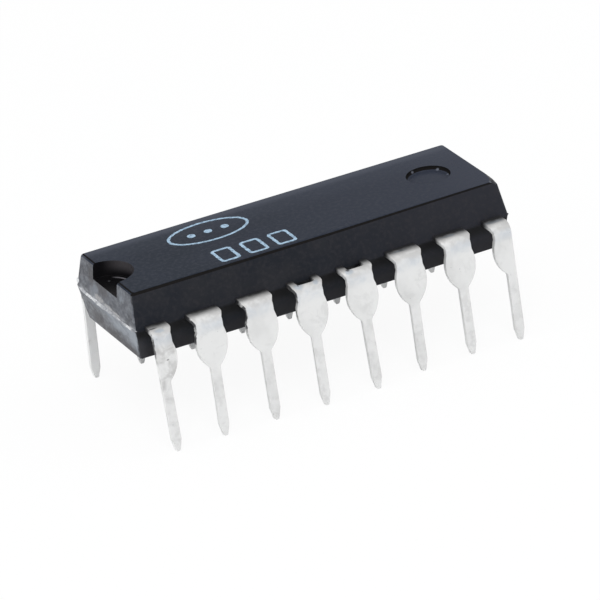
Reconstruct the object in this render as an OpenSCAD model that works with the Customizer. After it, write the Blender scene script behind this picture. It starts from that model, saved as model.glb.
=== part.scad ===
// Integrated circuit in a sixteen-lead dual in-line package of moulded epoxy.
// X runs along the two rows of leads, Z is up, and the origin lies under the middle of the body
// at the level of the lead tips. Lead 1 is in the near row beside the notch, and the numbers run
// along the near row and back along the far one, so that lead 16 stands behind lead 1.

/* [Lead rows] */
// Spacing of the leads along a row
pitch = 2.54; // [2.4:0.01:2.8]
// Width over the outside of both rows of bends
row_w = 8.4; // [8.2:0.05:9.2]
// Height of the parting line above the lead tips
drop = 5.63; // [5:0.01:6.5]
// Lean of each leg out from upright, in degrees
splay = 6.5; // [1:0.5:10]

/* [Moulded body] */
// Width of the body at the parting line
body_w = 6.4; // [5.9:0.05:6.9]
// Length of the body beyond the middle of the end leads
end_overhang = 0.71; // [0.5:0.01:1.2]
// Height of the top half above the parting line
top_h = 1.67; // [1.4:0.01:2]
// Depth of the bottom half below the parting line
bottom_h = 1.65; // [1.4:0.01:1.9]
// Draft of the long sides, in degrees
side_draft = 15; // [3:0.5:18]
// Draft of the ends, in degrees
end_draft = 7.5; // [3:0.5:12]
// Radius of the upright corners
corner_r = 0.15; // [0.1:0.05:0.5]
// Radius of the edges round the top and bottom faces
edge_r = 0.14; // [0.05:0.01:0.2]

/* [Marks in the moulding] */
// Radius of the half-round notch that marks the lead 1 end
notch_r = 1.35; // [1:0.05:1.6]
// Depth of the notch
notch_depth = 0.75; // [0.4:0.05:0.9]
// Diameter of the ejector pin mark in the top
top_mark_d = 2.1; // [1.5:0.05:2.6]
// Depth of the ejector pin mark in the top
top_mark_depth = 0.2; // [0.05:0.01:0.25]
// Middle of the top mark from the end of the top face
top_mark_inset = 2.2; // [1.8:0.1:4]
// Diameter of the two ejector pin marks in the underside
under_mark_d = 1.6; // [1:0.05:2.4]
// Depth of the ejector pin marks in the underside
under_mark_depth = 0.08; // [0.03:0.01:0.2]
// Spacing of the two marks in the underside
under_mark_spacing = 11; // [6:0.5:13]

/* [Leads] */
// Thickness of the lead frame sheet
sheet_t = 0.25; // [0.2:0.01:0.3]
// Width of a lead from inside the body to its bend
root_w = 1.54; // [1.36:0.01:1.6]
// Depth of that full width inside the body
root_in = 0.9; // [0.8:0.05:1]
// Inside radius of the bend
bend_r = 0.25; // [0.15:0.01:0.35]
// Width of the neck below the bend, which narrows to it
neck_w = 1.31; // [1.2:0.01:1.36]
// Length of the neck down the leg
neck_l = 0.22; // [0.1:0.01:0.4]
// Length of the flare from the neck out to the shield
flare_l = 0.2; // [0.1:0.01:0.3]
// Width of the shield at its widest
shield_w = 1.54; // [1.4:0.01:1.7]
// Radius of the curved sides of the shield
shield_side_r = 1.55; // [1.2:0.05:2]
// Length down the leg to where the straight stem begins
shield_l = 2.09; // [1.9:0.01:2.5]
// Radius of the hollow where the shield meets the stem
stem_fillet_r = 0.2; // [0.1:0.01:0.3]
// Width of the stem that goes through the board
stem_w = 0.46; // [0.36:0.01:0.56]
// Width of the blunt end of the tip
tip_w = 0.18; // [0.1:0.01:0.26]
// Length of the tapered tip
tip_l = 0.55; // [0.3:0.01:0.7]
// Radius of the two corners of the tip
tip_r = 0.05; // [0.02:0.01:0.05]
// Diameter of the lock hole that the moulding fills
lock_d = 0.5; // [0.3:0.05:0.6]
// Middle of the lock hole inside the side of the body
lock_in = 0.5; // [0.4:0.05:0.6]
// Width of the window in the middle leads, which straddles the side of the body
window_w = 0.88; // [0.6:0.01:0.95]
// Reach of the window inside the side of the body
window_in = 0.35; // [0.2:0.05:0.5]
// Metal between the end of the window and the outside of the bend
window_rim = 0.35; // [0.3:0.01:0.5]
// Radius of the corners of the window
window_r = 0.12; // [0.05:0.01:0.2]

/* [Inner lead frame] */
// Length of the paddle that carries the die
paddle_l = 4; // [3:0.1:4.4]
// Width of the paddle
paddle_w = 2.4; // [2:0.05:2.5]
// Depth of the paddle below the sheet of the leads
paddle_drop = 0.3; // [0:0.01:0.4]
// Width of the tie bars that hold the paddle at both ends
tie_w = 0.3; // [0.2:0.01:0.36]
// Straight length of tie bar at paddle level, and run of the slope up from it
tie_step = [0.15, 0.35];
// Gap from the paddle to the ends of the fingers
finger_gap = 0.3; // [0.2:0.01:0.35]
// Width of the fingers inside the body
finger_w = 0.34; // [0.26:0.01:0.38]
// Straight length of the fingers that end at the paddle's sides
finger_end_l = 0.3; // [0.2:0.01:0.34]

/* [Die and wires] */
// Length, width and thickness of the silicon die
die_size = [2, 1.6, 0.3];
// Thickness of the adhesive under the die
attach_t = 0.03; // [0.02:0.01:0.05]
// Adhesive that shows round the foot of the die
attach_fillet = 0.08; // [0:0.01:0.15]
// Bond pads from the edge of the die
pad_inset = 0.12; // [0.08:0.01:0.2]
// Diameter of the gold wire
wire_d = 0.033; // [0.025:0.001:0.05]
// Diameter of the ball at the die
ball_d = 0.09; // [0.07:0.01:0.12]
// Height of the ball
ball_h = 0.03; // [0.02:0.01:0.05]
// Height of the wire's loop above the die
loop_h = 0.22; // [0.16:0.01:0.35]
// Radius of the bend at the top of the loop
loop_r = 0.1; // [0.06:0.01:0.12]
// Stitch from the end of the finger
stitch_inset = 0.16; // [0.12:0.01:0.25]

/* [Hidden] */
PER_ROW = 8;
LEADS = 2 * PER_ROW;
function numbered(stem) = [for (n = [1:LEADS]) str(stem, n < 10 ? "_0" : "_", n)];
LEAD_NODES = numbered("lead");
WIRE_NODES = numbered("bond_wire");

$fn = 64;
MOULD_COLOUR = [0.17, 0.18, 0.2];
TIN_COLOUR = [0.87, 0.87, 0.86];
FRAME_COLOUR = [0.74, 0.73, 0.7];
ADHESIVE_COLOUR = [0.6, 0.6, 0.57];
DIE_COLOUR = [0.34, 0.37, 0.44];
GOLD_COLOUR = [0.9, 0.72, 0.3];

// Lengths that only have to reach past what they cut
PAST = 1;
EDGE_STEPS = 3;
UPRIGHT_STEPS = 3;

// Body
half_w = body_w / 2;
half_l = (PER_ROW - 1) * pitch / 2 + end_overhang;
// Half length and half width at the parting line, the top face and the bottom face
MID = [half_l, half_w];
TOP = MID - top_h * [tan(end_draft), tan(side_draft)];
BOTTOM = MID - bottom_h * [tan(end_draft), tan(side_draft)];

// Leads
half_t = sheet_t / 2;
bend_out = bend_r + sheet_t;
bend_y = row_w / 2 - bend_out;
bend_z = half_t - bend_out;
half_bend = (90 - splay) / 2;
leg_l = (drop + bend_z + bend_r * sin(splay)) / cos(splay);

// Heights inside the body, from the parting line
paddle_top = half_t - paddle_drop;
die_foot = paddle_top + attach_t;
die_top = die_foot + die_size.z;

function unit(v) = v / norm(v);
function left_of(v) = [-v.y, v.x];
function reversed(list) = [for (i = [len(list) - 1:-1:0]) list[i]];
// Offset at point i of path p that keeps both neighbouring edges one unit away
function mitre(p, i) =
    let (before = unit(p[max(i, 1)] - p[max(i, 1) - 1]),
         after = unit(p[min(i, len(p) - 2) + 1] - p[min(i, len(p) - 2)]),
         middle = unit(left_of(before) + left_of(after)))
    middle / (middle * left_of(before));
// Outline of a strip of width w along path p
function strip(p, w) = concat(
    [for (i = [0:len(p) - 1]) p[i] + mitre(p, i) * w / 2],
    reversed([for (i = [0:len(p) - 1]) p[i] - mitre(p, i) * w / 2]));
// Points of an arc from angle a to angle b
function arc(centre, r, a, b, steps) =
    [for (i = [0:steps]) let (t = a + (b - a) * i / steps) centre + r * [cos(t), sin(t)]];

// Reach of a rounded rectangle of half sizes h in the direction at angle a
function reach(h, a) =
    (h.x - corner_r) * cos(a) + (h.y - corner_r) * sin(a) + corner_r;
// Rounded edge where a drafted face that leans by lean meets the flat face at height h
function edge_arc(half, h, lean) =
    arc([half - edge_r * tan((90 - lean) / 2), h - edge_r], edge_r, lean, 90, EDGE_STEPS);
// Right half of the body's section across the direction at angle a
function half_section(a) =
    let (m = reach(MID, a), t = reach(TOP, a), b = reach(BOTTOM, a),
         low = edge_arc(b, bottom_h, atan((m - b) / bottom_h)),
         high = edge_arc(t, top_h, atan((m - t) / top_h)))
    concat(reversed([for (p = low) [p.x, -p.y]]), [[m, 0]], high);

// Prism with the two drafted faces whose reach is taken at angle a, turned to face angle turn
module slab(a, turn) {
    right = half_section(a);
    left = [for (p = right) [-p.x, p.y]];
    rotate([0, 0, turn]) rotate([90, 0, 0])
        linear_extrude(height = 4 * half_l, center = true)
            polygon(concat(right, reversed(left)));
}

// Direction of face i of a rounded upright corner
function upright_angle(i) = 90 * i / UPRIGHT_STEPS;

// The moulding before anything is taken out of it, with its parting line at z = 0
module body_blank() {
    intersection() {
        slab(0, 0);
        slab(90, 90);
        intersection_for (i = [1:UPRIGHT_STEPS - 1]) slab(upright_angle(i), upright_angle(i));
        intersection_for (i = [1:UPRIGHT_STEPS - 1]) slab(upright_angle(i), -upright_angle(i));
    }
}

module body() {
    color(MOULD_COLOUR)
        translate([0, 0, drop])
            difference() {
                body_blank();
                notch();
                top_mark();
                under_marks();
                // The bends reach into the moulding too where the rows are narrow
                for (n = [1:LEADS]) {
                    lead_flat(n);
                    lead_bend(n);
                }
                paddle_sheet();
                attach_layer();
                die_block();
                for (n = [1:LEADS]) wire_run(n);
            }
}

module notch() {
    translate([-TOP.x, 0, top_h - notch_depth]) cylinder(r = notch_r, h = notch_depth + PAST);
}

module top_mark() {
    translate([TOP.x - top_mark_inset, 0, top_h - top_mark_depth])
        cylinder(d = top_mark_d, h = top_mark_depth + PAST);
}

module under_marks() {
    for (side = [-1, 1])
        translate([side * under_mark_spacing / 2, 0, -bottom_h - PAST])
            cylinder(d = under_mark_d, h = under_mark_depth + PAST);
}

// A lead's place: column 1 to 8 from the notched end, kind 1 at both ends to 4 in the middle
function column(n) = n <= PER_ROW ? n : LEADS + 1 - n;
function kind(n) = min(column(n), PER_ROW + 1 - column(n));
function lead_x(k) = -((PER_ROW + 1) / 2 - k) * pitch;

// Puts what is drawn for the near left quarter into the quarter of lead n
module quarter(n) {
    mirror([column(n) > PER_ROW / 2 ? 1 : 0, 0, 0])
        mirror([0, n > PER_ROW ? 1 : 0, 0])
            children();
}

// The end leads have half a shield: their outer edge is straight all the way down
function outer_half(k, wide) = k == 1 ? stem_w / 2 : wide / 2;

// Plan of the full width of a lead, from its bend into the body
function root_plan(k) =
    let (left = lead_x(k) - outer_half(k, root_w), right = lead_x(k) + root_w / 2,
         end = half_w - root_in)
    [[left, -bend_y], [right, -bend_y], [right, -end], [left, -end]];
// Middle of that width
function root_x(k) = lead_x(k) + (root_w / 2 - outer_half(k, root_w)) / 2;

// Fingers 1 and 2 end at the paddle's end, and 3 and 4 at its side. Their places there, and those
// of the pads that they serve, are shares of the paddle and of the die.
function paddle_share(k) = [0.21, 0.44, 0.44, 0.16][k - 1];
function die_share(k) = [0.16, 0.34, 0.32, 0.15][k - 1];
TURN_SHARE = 0.47;

function finger_tip(k) =
    k <= 2 ? [-paddle_l / 2 - finger_gap, -paddle_share(k) * paddle_w]
           : [-paddle_share(k) * paddle_l, -paddle_w / 2 - finger_gap];
function finger_elbow(k) =
    k <= 2 ? [lead_x(k) + TURN_SHARE * pitch, finger_tip(k).y]
           : finger_tip(k) - [0, finger_end_l];
function finger_start(k) = [root_x(k), -(half_w - root_in / 2)];
function finger_plan(k) =
    strip([finger_start(k), [root_x(k), -(half_w - root_in)], finger_elbow(k), finger_tip(k)],
          finger_w);

// Corner of a rounded opening: its arc of radius r that starts at angle a
CORNER_STEPS = 4;
function opening_corner(centre, r, a) = arc(centre, r, a, a + 90, CORNER_STEPS);

// The window of the middle leads and the lock hole of the others
module lead_hole(k) {
    if (k == 4) {
        side = window_w / 2 - window_r;
        low = -(row_w / 2 - window_rim - window_r);
        high = -(half_w - window_in + window_r);
        translate([root_x(k), 0])
            polygon(concat(opening_corner([side, low], window_r, 270),
                           opening_corner([side, high], window_r, 0),
                           opening_corner([-side, high], window_r, 90),
                           opening_corner([-side, low], window_r, 180)));
    } else {
        translate([root_x(k), -(half_w - lock_in)]) circle(d = lock_d);
    }
}

// The flat part of a lead: the run out to the bend, and the root and finger inside the body
module lead_flat(n) {
    k = kind(n);
    quarter(n)
        translate([0, 0, -half_t])
            linear_extrude(height = sheet_t)
                difference() {
                    union() {
                        polygon(root_plan(k));
                        polygon(finger_plan(k));
                    }
                    lead_hole(k);
                }
}

// Outline of the bend seen square to its middle, where it narrows from the root to the neck. The
// taper takes up most of the room that leaves both ends of the bend square.
TAPER_SHARE = 0.8;
function bend_outline(k) =
    let (x = lead_x(k), turn = TAPER_SHARE * bend_r * sin(half_bend), past = 2 * bend_out)
    [[x - outer_half(k, root_w), -past], [x + root_w / 2, -past], [x + root_w / 2, -turn],
     [x + neck_w / 2, turn], [x + neck_w / 2, past], [x - outer_half(k, neck_w), past],
     [x - outer_half(k, neck_w), turn], [x - outer_half(k, root_w), -turn]];

module lead_bend(n) {
    k = kind(n);
    outer = outer_half(k, root_w);
    quarter(n)
        difference() {
            intersection() {
                translate([lead_x(k), -bend_y, bend_z])
                    rotate([0, 90, 0])
                        rotate_extrude(angle = 90 - splay, start = 180)
                            translate([bend_r, -outer]) square([sheet_t, outer + root_w / 2]);
                translate([0, -bend_y, bend_z])
                    rotate([180 + half_bend, 0, 0])
                        linear_extrude(height = 4 * bend_out, center = true)
                            polygon(bend_outline(k));
            }
            if (k == 4)
                translate([0, 0, bend_z])
                    linear_extrude(height = bend_out + PAST) lead_hole(k);
        }
}

// One edge of the leg as [distance from the middle, distance down the leg]
half_stem = stem_w / 2;
shield_centre_x = shield_w / 2 - shield_side_r;
hollow_x = half_stem + stem_fillet_r;
blend_v = sqrt(pow(shield_side_r + stem_fillet_r, 2) - pow(hollow_x - shield_centre_x, 2));
shield_centre = [shield_centre_x, shield_l - blend_v];
blend_angle = atan2(blend_v, hollow_x - shield_centre_x);
flare_end = neck_l + flare_l;
SHIELD_STEPS = 10;
HOLLOW_STEPS = 4;
TIP_STEPS = 3;
tip_lean = atan((half_stem - tip_w / 2) / tip_l);

function tip_edge() = concat(
    [[half_stem, leg_l - tip_l]],
    arc([tip_w / 2 - tip_r * tan(45 - tip_lean / 2), leg_l - tip_r], tip_r, tip_lean, 90, TIP_STEPS));
function shield_edge() = concat(
    [[neck_w / 2, 0], [neck_w / 2, neck_l]],
    arc(shield_centre, shield_side_r, asin((flare_end - shield_centre.y) / shield_side_r),
        blend_angle, SHIELD_STEPS),
    [for (i = [1:HOLLOW_STEPS]) let (t = 180 + blend_angle * (1 - i / HOLLOW_STEPS))
        [hollow_x, shield_l] + stem_fillet_r * [cos(t), sin(t)]],
    tip_edge());
function plain_edge() = concat([[half_stem, 0]], tip_edge());

module lead_leg(n) {
    k = kind(n);
    inner = shield_edge();
    outer = k == 1 ? plain_edge() : shield_edge();
    quarter(n)
        translate([lead_x(k), -bend_y, bend_z])
            rotate([90 - splay, 0, 0])
                translate([0, 0, bend_r])
                    linear_extrude(height = sheet_t)
                        polygon(concat([for (p = inner) [p.x, -p.y]],
                                       reversed([for (p = outer) -p])));
}

module lead(n) {
    color(TIN_COLOUR)
        translate([0, 0, drop])
            union() {
                lead_flat(n);
                lead_bend(n);
                lead_leg(n);
            }
}

// Paddle and tie bars, one strip of the same sheet that steps down in the middle
module paddle_sheet() {
    foot = paddle_l / 2 + tie_step[0];
    level = foot + tie_step[1];
    intersection() {
        rotate([90, 0, 0])
            linear_extrude(height = body_w, center = true)
                polygon(strip([[-half_l, 0], [-level, 0], [-foot, -paddle_drop],
                               [foot, -paddle_drop], [level, 0], [half_l, 0]], sheet_t));
        linear_extrude(height = body_w, center = true)
            union() {
                square([paddle_l, paddle_w], center = true);
                square([2 * half_l, tie_w], center = true);
            }
    }
}

module die_paddle() {
    color(FRAME_COLOUR) translate([0, 0, drop]) paddle_sheet();
}

module attach_layer() {
    translate([0, 0, paddle_top + attach_t / 2])
        cube([die_size.x + 2 * attach_fillet, die_size.y + 2 * attach_fillet, attach_t],
             center = true);
}

module die_attach() {
    color(ADHESIVE_COLOUR) translate([0, 0, drop]) attach_layer();
}

module die_block() {
    translate([0, 0, die_foot + die_size.z / 2]) cube(die_size, center = true);
}

module die() {
    color(DIE_COLOUR) translate([0, 0, drop]) die_block();
}

// Bond wires, each from a pad on the die to the stitch on its finger
function bond_pad(k) =
    k <= 2 ? [-die_size.x / 2 + pad_inset, -die_share(k) * die_size.y]
           : [-die_share(k) * die_size.x, -die_size.y / 2 + pad_inset];
function stitch(k) =
    finger_tip(k) + stitch_inset * (k <= 2 ? [-1, 0] : [0, -1]);

// Middle line of a wire as [distance from its pad, height above the die]: straight up, over the
// bend, and straight down past the finger's top at distance reach
LOOP_STEPS = 4;
function wire_path(reach) =
    let (centre = [loop_r, loop_h - loop_r],
         way = [reach, half_t - die_top] - centre,
         fall = atan2(-way.y, way.x) + asin(loop_r / norm(way)),
         over = arc(centre, loop_r, 180, 90 - fall, LOOP_STEPS),
         run = sqrt(way * way - loop_r * loop_r) + wire_d)
    concat([[0, 0]], over, [over[LOOP_STEPS] + run * [cos(fall), -sin(fall)]]);

// The wire is as wide as it is thick, and it stops on the plane of the fingers
module wire_run(n) {
    k = kind(n);
    pad = bond_pad(k);
    way = stitch(k) - pad;
    quarter(n)
        difference() {
            translate([pad.x, pad.y, die_top])
                rotate([0, 0, atan2(way.y, way.x)])
                    union() {
                        cylinder(d = ball_d, h = ball_h);
                        rotate([90, 0, 0])
                            linear_extrude(height = wire_d, center = true)
                                polygon(strip(wire_path(norm(way)), wire_d));
                    }
            translate([-half_l, -half_w, -half_t]) cube([half_l - paddle_l / 2, half_w, sheet_t]);
            translate([-half_l, -half_w, -half_t]) cube([half_l, half_w - paddle_w / 2, sheet_t]);
        }
}

module bond_wire(n) {
    color(GOLD_COLOUR) translate([0, 0, drop]) wire_run(n);
}

body();
die_paddle();
die_attach();
die();
for (n = [1:LEADS]) lead(n);
for (n = [1:LEADS]) bond_wire(n);
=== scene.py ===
"""Looks for the sixteen-lead chip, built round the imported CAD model.

In the geometry, lengths are in millimetres and heights are measured from the parting line of the
moulding, unless a comment says otherwise. mesh_piece turns them into metres above the lead tips.
The materials work in metres.
"""

import math
import random

import bmesh
import bpy
from mathutils import Matrix, Vector, noise


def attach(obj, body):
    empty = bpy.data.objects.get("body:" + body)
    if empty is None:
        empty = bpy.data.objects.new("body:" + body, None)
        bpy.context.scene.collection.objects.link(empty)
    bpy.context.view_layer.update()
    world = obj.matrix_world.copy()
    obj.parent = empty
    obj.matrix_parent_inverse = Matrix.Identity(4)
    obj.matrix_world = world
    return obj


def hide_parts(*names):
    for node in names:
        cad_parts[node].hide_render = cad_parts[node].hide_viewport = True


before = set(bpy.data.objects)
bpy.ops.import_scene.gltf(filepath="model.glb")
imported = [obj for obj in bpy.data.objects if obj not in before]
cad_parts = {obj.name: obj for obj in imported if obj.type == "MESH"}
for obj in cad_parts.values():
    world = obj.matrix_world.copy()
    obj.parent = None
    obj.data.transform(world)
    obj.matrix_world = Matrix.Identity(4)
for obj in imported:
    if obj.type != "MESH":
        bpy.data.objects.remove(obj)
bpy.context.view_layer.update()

# Metres in a millimetre, and how near in millimetres two points are one
MM = 0.001
WELD = 0.001

# Sizes that part.scad gives too
LEADS = 16
DROP = 5.63
HALF_L = 9.6
HALF_W = 3.2
TOP_H = 1.67
BOTTOM_H = 1.65
SIDE_DRAFT = math.radians(15)
END_DRAFT = math.radians(7.5)
CORNER_R = 0.15
NOTCH_R = 1.35
NOTCH_DEPTH = 0.75
TOP_MARK_R = 1.05
TOP_MARK_DEPTH = 0.2
TOP_MARK_INSET = 2.2
UNDER_MARK_R = 0.8
UNDER_MARK_DEPTH = 0.08
UNDER_MARK_X = 5.5
TOP_X = HALF_L - TOP_H * math.tan(END_DRAFT)
TOP_MARK_X = TOP_X - TOP_MARK_INSET
NOTCH_FLOOR = TOP_H - NOTCH_DEPTH

# What the photograph shows beyond them: softer edges at the notched end, a tighter notch, rounded
# feet in the recesses, softened rims, and two chips off the near right corner of the top, as planes
# through three points with their heights from the top
LEFT_EDGE_R = 0.19
RIGHT_EDGE_R = 0.11
NOTCH_CUT_R = NOTCH_R - 0.03
NOTCH_FOOT_R = 0.22
MARK_FOOT_R = 0.16
RIM_R = 0.045
CORNER_CHIPS = [((9.27, -2.1, 0), (9.37, -2.8, -0.24), (8.98, -2.72, 0)),
                ((9.3, -1.6, 0), (9.4, -2.5, -0.12), (9.2, -2.56, 0))]

# Finishes of the moulding, in the order of its materials. The last one paints shade: the rounded near
# and notched edges of the top and the wall of the ejector mark are painted darker.
FLAT, SIDE, END, NOTCH, SHADE_PAINTED_EDGE = range(5)

# Camera, in millimetres and degrees, with its target's height above the lead tips
CAMERA_TARGET = Vector((-0.411, -0.892, 3.507))
CAMERA_DISTANCE = 219.816
CAMERA_AZIMUTH = -23.048
CAMERA_ELEVATION = 24.818
CAMERA_ROLL = -7.15
CAMERA_LENS = 285.99

# Stage, in metres: the floor's height and how much of it the camera sees as plain white, the level of
# the sky, and each lamp's place, size and level
FLOOR_Z = -0.00002
FLOOR_WHITE = 0.92
SKY_LEVEL = 0.6
LAMPS = {"key": ((-0.12, -0.34, 0.42), 0.3, 0.42),
         "fill": ((0.45, -0.22, 0.25), 0.3, 0.14),
         "left": ((-0.45, -0.1, 0.2), 0.35, 0.2)}

# Scuffs, pale patches along the parting ridge that are partly scraped flash and partly painted
# highlight, and painted shade low down, beside the notch and high on the far side of the notched end
# face, each with its place and half widths
END_SMEARS = [((-9.6, 1.2, 0.44), (0.6, 0.6, 0.45)),
              ((-9.5, -1.8, 1.15), (0.6, 0.45, 0.5)),
              ((-9.6, -2.9, -0.8), (0.6, 0.35, 0.6))]
END_SCRAPES_AND_HIGHLIGHTS = [((-9.65, 0.65, 0.2), (0.6, 0.7, 0.2)),
              ((-9.65, -0.4, 0.12), (0.6, 0.7, 0.14)),
              ((-9.65, -1.2, 0.1), (0.6, 0.7, 0.1)),
              ((-9.65, -2.9, 0.02), (0.6, 0.4, 0.12))]
END_PAINTED_SHADES = [((-9.5, 1.3, -1.05), (0.6, 0.9, 0.5)),
              ((-9.5, -0.3, -1.3), (0.6, 1.3, 0.4)),
              ((-9.5, -2.0, -1.4), (0.6, 1.3, 0.3)),
              ((-9.5, 0.3, 0.75), (0.6, 0.9, 0.5)),
              ((-9.5, 1.5, 1.0), (0.6, 0.5, 0.7))]

# Bluish smudges on the leads, and dark marks: specks, and painted shade in small dimples beside the
# windows of the middle leads
TIN_SMUDGES = [((-1.72, -3.93, 0.02), (0.3, 0.25, 0.2)),
               ((-0.86, -3.93, 0.04), (0.2, 0.2, 0.15)),
               ((0.86, -3.93, 0.02), (0.25, 0.22, 0.16)),
               ((-8.72, -3.98, 0.06), (0.35, 0.14, 0.14)),
               ((8.5, -3.62, 0.12), (0.6, 0.2, 0.2)),
               ((6.2, -3.6, 0.12), (0.6, 0.14, 0.2)),
               ((3.6, -3.6, 0.12), (0.5, 0.12, 0.2))]
TIN_MARKS_AND_DIMPLE_SHADE = [((-8.62, -4.42, -1.3), (0.1, 0.3, 0.05)),
             ((0.84, -3.85, 0.08), (0.12, 0.12, 0.12)),
             ((-1.7, -3.87, 0.08), (0.05, 0.08, 0.08)),
             ((-8.95, -3.75, 0.12), (0.3, 0.06, 0.05))]

# Painted glints on the wall of the ejector mark, and a painted highlight on the chipped corner
PAINTED_GLINTS = [((6.83, 1.0, 1.56), (0.1, 0.12, 0.1)),
         ((7.97, 0.6, 1.5), (0.1, 0.1, 0.1)),
         ((8.1, -0.15, 1.5), (0.07, 0.07, 0.07)),
         ((9.06, -2.62, 1.64), (0.1, 0.1, 0.08))]


def clear_start_objects():
    """Takes out what a new Blender file holds."""
    for name in ("Cube", "Light", "Camera"):
        if name in bpy.data.objects:
            bpy.data.objects.remove(bpy.data.objects[name], do_unlink=True)


def add_camera():
    """The camera, which stands far back behind a long lens."""
    azimuth = math.radians(CAMERA_AZIMUTH)
    elevation = math.radians(CAMERA_ELEVATION)
    back = Vector((math.sin(azimuth) * math.cos(elevation),
                   -math.cos(azimuth) * math.cos(elevation),
                   math.sin(elevation)))
    roll = Matrix.Rotation(math.radians(CAMERA_ROLL), 3, "Z")
    turn = (-back).to_track_quat("-Z", "Y").to_matrix() @ roll
    place = (CAMERA_TARGET + back * CAMERA_DISTANCE) * MM
    data = bpy.data.cameras.new("camera")
    data.lens = CAMERA_LENS
    data.sensor_width = 36
    data.clip_start = 0.001
    data.clip_end = 10
    camera = bpy.data.objects.new("camera", data)
    camera.matrix_world = Matrix.Translation(place) @ turn.to_4x4()
    bpy.context.scene.collection.objects.link(camera)
    bpy.context.scene.camera = camera


class Nodes:
    """A wrapper round a node tree that keeps the code of the materials short."""

    def __init__(self, tree):
        self.tree = tree

    def add(self, kind, **inputs):
        node = self.tree.nodes.new(kind)
        self.fill(node, inputs)
        return node

    def fill(self, node, inputs):
        """Sets each named socket to a value, or links it to another node's output."""
        for key, value in inputs.items():
            socket = node.inputs[key.replace("_", " ")]
            if hasattr(value, "is_output"):
                self.tree.links.new(value, socket)
            else:
                socket.default_value = value

    def place(self):
        """The place on the object, in metres."""
        return self.add("ShaderNodeTexCoord").outputs["Object"]

    def axes(self, vector=None):
        """The X, Y and Z of a vector, or else of the place on the object."""
        return self.add("ShaderNodeSeparateXYZ", Vector=vector or self.place()).outputs

    def normal(self, kind):
        """The X, Y and Z of the surface's Normal or True Normal."""
        return self.axes(self.add("ShaderNodeNewGeometry").outputs[kind])

    def scaled_place(self, scale):
        """The place on the object, scaled along each axis."""
        mapping = self.add("ShaderNodeMapping", Vector=self.place())
        mapping.inputs["Scale"].default_value = scale
        return mapping.outputs["Vector"]

    def noise(self, scale, detail, roughness, vector=None, distortion=0.0):
        node = self.add("ShaderNodeTexNoise", Scale=scale, Detail=detail, Roughness=roughness,
                        Distortion=distortion, Vector=vector or self.place())
        return node.outputs["Fac"]

    def ramp(self, fac, low, high, a=0.0, b=1.0, smooth=True):
        """Goes from a to b while fac goes from low to high."""
        node = self.add("ShaderNodeMapRange", Value=fac)
        node.interpolation_type = "SMOOTHSTEP" if smooth else "LINEAR"
        node.inputs["From Min"].default_value = low
        node.inputs["From Max"].default_value = high
        node.inputs["To Min"].default_value = a
        node.inputs["To Max"].default_value = b
        return node.outputs["Result"]

    def math(self, operation, a, b=0.5):
        node = self.tree.nodes.new("ShaderNodeMath")
        node.operation = operation
        for socket, value in zip(node.inputs, (a, b)):
            if hasattr(value, "is_output"):
                self.tree.links.new(value, socket)
            else:
                socket.default_value = value
        return node.outputs[0]

    def times(self, a, b):
        return self.math("MULTIPLY", a, b)

    def swing(self, fac, size):
        """A noise as a shift of up to half the size to either side."""
        return self.times(self.math("SUBTRACT", fac, 0.5), size)

    def mix(self, fac, a, b):
        """Colour a, or b where fac is 1."""
        node = self.tree.nodes.new("ShaderNodeMix")
        node.data_type = "RGBA"
        for index, value in ((0, fac), (6, a), (7, b)):
            if hasattr(value, "is_output"):
                self.tree.links.new(value, node.inputs[index])
            else:
                node.inputs[index].default_value = value if index == 0 else (*value, 1.0)
        return node.outputs[2]

    def bump(self, height, strength, distance):
        node = self.add("ShaderNodeBump", Height=height, Strength=strength, Distance=distance)
        return node.outputs["Normal"]


def material(name, build, **constants):
    """A material whose sockets get the constants given and what build makes of them with nodes."""
    made = bpy.data.materials.new(name)
    made.use_nodes = True
    shader = made.node_tree.nodes["Principled BSDF"]
    nodes = Nodes(made.node_tree)
    for key, value in constants.items():
        shader.inputs[key.replace("_", " ")].default_value = value
    nodes.fill(shader, build(nodes))
    return made


def soft_spot(n, spots, seed, ragged):
    """Mask of soft uneven ellipsoids: 1 in the middle of each spot, 0 beyond its half widths."""
    rough = n.swing(n.noise(3200 + seed, 3, 0.6), 2 * ragged)
    total = None
    for place, width in spots:
        mapping = n.add("ShaderNodeMapping", Vector=n.place())
        scale = [1 / (MM * w) for w in width]
        mapping.inputs["Scale"].default_value = scale
        shift = (place[0] * MM, place[1] * MM, (place[2] + DROP) * MM)
        mapping.inputs["Location"].default_value = [-s * k for s, k in zip(shift, scale)]
        far = n.add("ShaderNodeVectorMath", Vector=mapping.outputs["Vector"])
        far.operation = "LENGTH"
        mask = n.ramp(n.math("ADD", far.outputs["Value"], rough), 1.0, 0.35)
        total = mask if total is None else n.math("MAXIMUM", total, mask)
    return total


def with_painted_glints(n, colour):
    """The colour with the painted glints of the ejector mark and the painted highlight of the chipped
    corner laid over it.
    """
    glints = soft_spot(n, PAINTED_GLINTS, 50.0, 0.4)
    return n.mix(n.times(glints, 0.6), colour, (0.2, 0.215, 0.26))


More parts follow.
